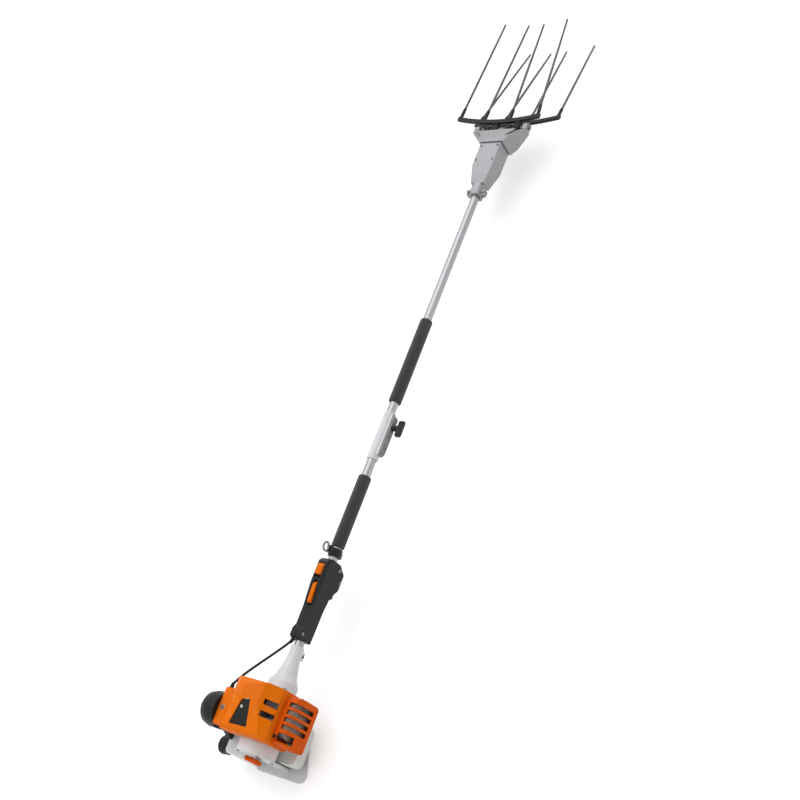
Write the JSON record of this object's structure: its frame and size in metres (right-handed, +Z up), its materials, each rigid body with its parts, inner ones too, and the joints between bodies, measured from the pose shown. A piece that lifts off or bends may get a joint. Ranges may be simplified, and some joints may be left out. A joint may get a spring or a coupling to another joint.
{
  "type": "pole fruit harvester",
  "caption": "Engine-driven two-piece pole with a control handle, foam grips and a geared head that swings two opposed combs of thin tines to shake fruit from branches.",
  "frame": {"origin": "middle of the engine foot's flat underside", "axes": "+X along the pole from the engine to the combs, +Y to the air filter side, +Z up from the floor"},
  "size_m": [2.4285, 0.338, 0.2371],
  "materials": {
    "orange_shell": "moulded gloss",
    "red_orange": "moulded gloss",
    "black_plastic": "fine moulded grain",
    "foam": "closed-cell foam",
    "tube_alloy": "drawn and anodised",
    "cast_alloy": "die cast, bead blasted",
    "pale_housing": "light grey paint",
    "grey_plastic": "moulded",
    "tank_plastic": "translucent moulding",
    "steel": "turned",
    "burnt_steel": "pressed, heat stained",
    "carbon_rod": "pultruded fibre rod",
    "soft_rubber": "smooth",
    "bush_plastic": "turned",
    "filter_foam": "oiled foam",
    "ceramic": "glazed",
    "brass": "turned"
  },
  "bodies": {
    "base": {"crankcase": "cast_alloy", "engine_bearings": "steel", "cylinder_barrel": "cast_alloy", "piston": "cast_alloy", "con_rod": "steel", "spark_plug": "ceramic", "plug_boot": "soft_rubber", "ignition_module": "black_plastic", "engine_shroud": "orange_shell", "muffler": "burnt_steel", "muffler_guard": "red_orange", "carburettor": "cast_alloy", "carb_cover": "orange_shell", "filter_element": "filter_foam", "filter_cover": "black_plastic", "fan_housing": "pale_housing", "starter_cover": "pale_housing", "fuel_tank": "tank_plastic", "engine_foot": "grey_plastic", "clutch_housing": "pale_housing", "throttle_cable": "soft_rubber", "handle_left": "black_plastic", "handle_right": "black_plastic", "lower_tube": "tube_alloy", "lower_bushes": "bush_plastic", "carry_clamp": "black_plastic", "carry_ring": "steel", "lower_grip": "foam", "coupling_sleeve": "pale_housing", "cap_screws": "steel", "starter_rope": "bush_plastic"},
    "engine_rotor": {"crankshaft": "steel", "flywheel": "cast_alloy", "clutch_shoes": "steel"},
    "throttle_lever": {"throttle_lever": "brass"},
    "trigger": {"throttle_trigger": "black_plastic"},
    "lockout": {"throttle_lockout": "orange_shell"},
    "stop_switch": {"stop_switch": "orange_shell"},
    "primer": {"primer_bulb": "soft_rubber"},
    "choke": {"choke_lever": "black_plastic"},
    "starter_pulley": {"starter_pulley": "black_plastic"},
    "starter_handle": {"starter_grip": "red_orange"},
    "fuel_cap": {"fuel_cap": "black_plastic"},
    "clamp_knob": {"clamp_knob": "black_plastic"},
    "lower_drive": {"clutch_drum": "steel", "lower_shaft": "steel"},
    "upper_pole": {"upper_tube": "tube_alloy", "upper_bushes": "bush_plastic", "upper_grip": "foam", "gear_case": "cast_alloy", "head_bearings": "steel", "fork": "cast_alloy", "pivot_axle": "steel", "head_screws": "steel"},
    "upper_drive": {"upper_shaft": "steel"},
    "crank": {"crank_gear": "steel"},
    "comb_a": {"comb_a": "black_plastic", "tines_a": "carbon_rod"},
    "comb_b": {"comb_b": "black_plastic", "tines_b": "carbon_rod"}
  },
  "joints": [
    {"name": "rotor_spin", "type": "hinge", "parent": "base", "child": "engine_rotor", "pos_m": [0.022, 0, 0.12], "axis": [1, 0, 0], "continuous": true},
    {"name": "trigger_pull", "type": "hinge", "parent": "base", "child": "trigger", "pos_m": [0.401, 0, 0.094], "axis": [0, 1, 0], "range_deg": [0, 16], "stiffness_Nm_per_rad": 0.5, "springref_deg": -5.73},
    {"name": "lockout_press", "type": "hinge", "parent": "base", "child": "lockout", "pos_m": [0.389, 0, 0.143], "axis": [0, -1, 0], "range_deg": [0, 6], "stiffness_Nm_per_rad": 1, "springref_deg": -3.44},
    {"name": "stop_switch_slide", "type": "slide", "parent": "base", "child": "stop_switch", "axis": [-1, 0, 0], "range_m": [0, 0.006]},
    {"name": "primer_press", "type": "slide", "parent": "base", "child": "primer", "axis": [1, 0, 0], "range_m": [0, 0.004], "stiffness_N_per_m": 900},
    {"name": "choke_turn", "type": "hinge", "parent": "base", "child": "choke", "pos_m": [-0.016, 0.086, 0.16], "axis": [1, 0, 0], "range_deg": [0, 45]},
    {"name": "throttle_lever_turn", "type": "hinge", "parent": "base", "child": "throttle_lever", "pos_m": [0.028, 0.076, 0.19], "axis": [0, 0, 1], "range_deg": [0, 75]},
    {"name": "starter_pull", "type": "slide", "parent": "base", "child": "starter_handle", "axis": [0, 0, 1], "range_m": [0, 0.45], "stiffness_N_per_m": 20, "springref_m": -0.1, "deforming": ["starter_rope"]},
    {"name": "pulley_turn", "type": "hinge", "parent": "base", "child": "starter_pulley", "pos_m": [-0.038, 0, 0.12], "axis": [1, 0, 0], "range_deg": [0, 860]},
    {"name": "fuel_cap_turn", "type": "hinge", "parent": "base", "child": "fuel_cap", "pos_m": [-0.042, 0.136, 0.07], "axis": [0, 1, 0], "range_deg": [0, 270]},
    {"name": "clamp_knob_turn", "type": "hinge", "parent": "base", "child": "clamp_knob", "pos_m": [0.86, -0.027, 0.12], "axis": [0, -1, 0], "range_deg": [0, 540]},
    {"name": "upper_pole_pull", "type": "slide", "parent": "base", "child": "upper_pole", "axis": [1, 0, 0], "range_m": [0, 0.06]},
    {"name": "lower_drive_turn", "type": "hinge", "parent": "base", "child": "lower_drive", "pos_m": [0.6, 0, 0.12], "axis": [1, 0, 0], "range_deg": [0, 360]},
    {"name": "upper_drive_turn", "type": "hinge", "parent": "upper_pole", "child": "upper_drive", "pos_m": [1.2, 0, 0.12], "axis": [1, 0, 0], "range_deg": [0, 360]},
    {"name": "crank_turn", "type": "hinge", "parent": "upper_pole", "child": "crank", "pos_m": [1.808, 0, 0.12], "axis": [0, 1, 0], "range_deg": [0, 180]},
    {"name": "comb_a_swing", "type": "hinge", "parent": "upper_pole", "child": "comb_a", "pos_m": [1.913, 0, 0.12], "axis": [0, 1, 0], "range_deg": [0, 13]},
    {"name": "comb_b_swing", "type": "hinge", "parent": "upper_pole", "child": "comb_b", "pos_m": [1.913, 0, 0.12], "axis": [0, 1, 0], "range_deg": [-13, 0]}
  ],
  "couplings": [
    {"joint": "comb_b_swing", "follows": "comb_a_swing", "ratio": -1},
    {"joint": "crank_turn", "follows": "comb_a_swing", "ratio": 13.846},
    {"joint": "upper_drive_turn", "follows": "comb_a_swing", "ratio": 27.692},
    {"joint": "lower_drive_turn", "follows": "comb_a_swing", "ratio": 27.692},
    {"joint": "throttle_lever_turn", "follows": "trigger_pull", "ratio": 3},
    {"joint": "pulley_turn", "follows": "starter_pull", "rad_per_m": 33.333}
  ]
}
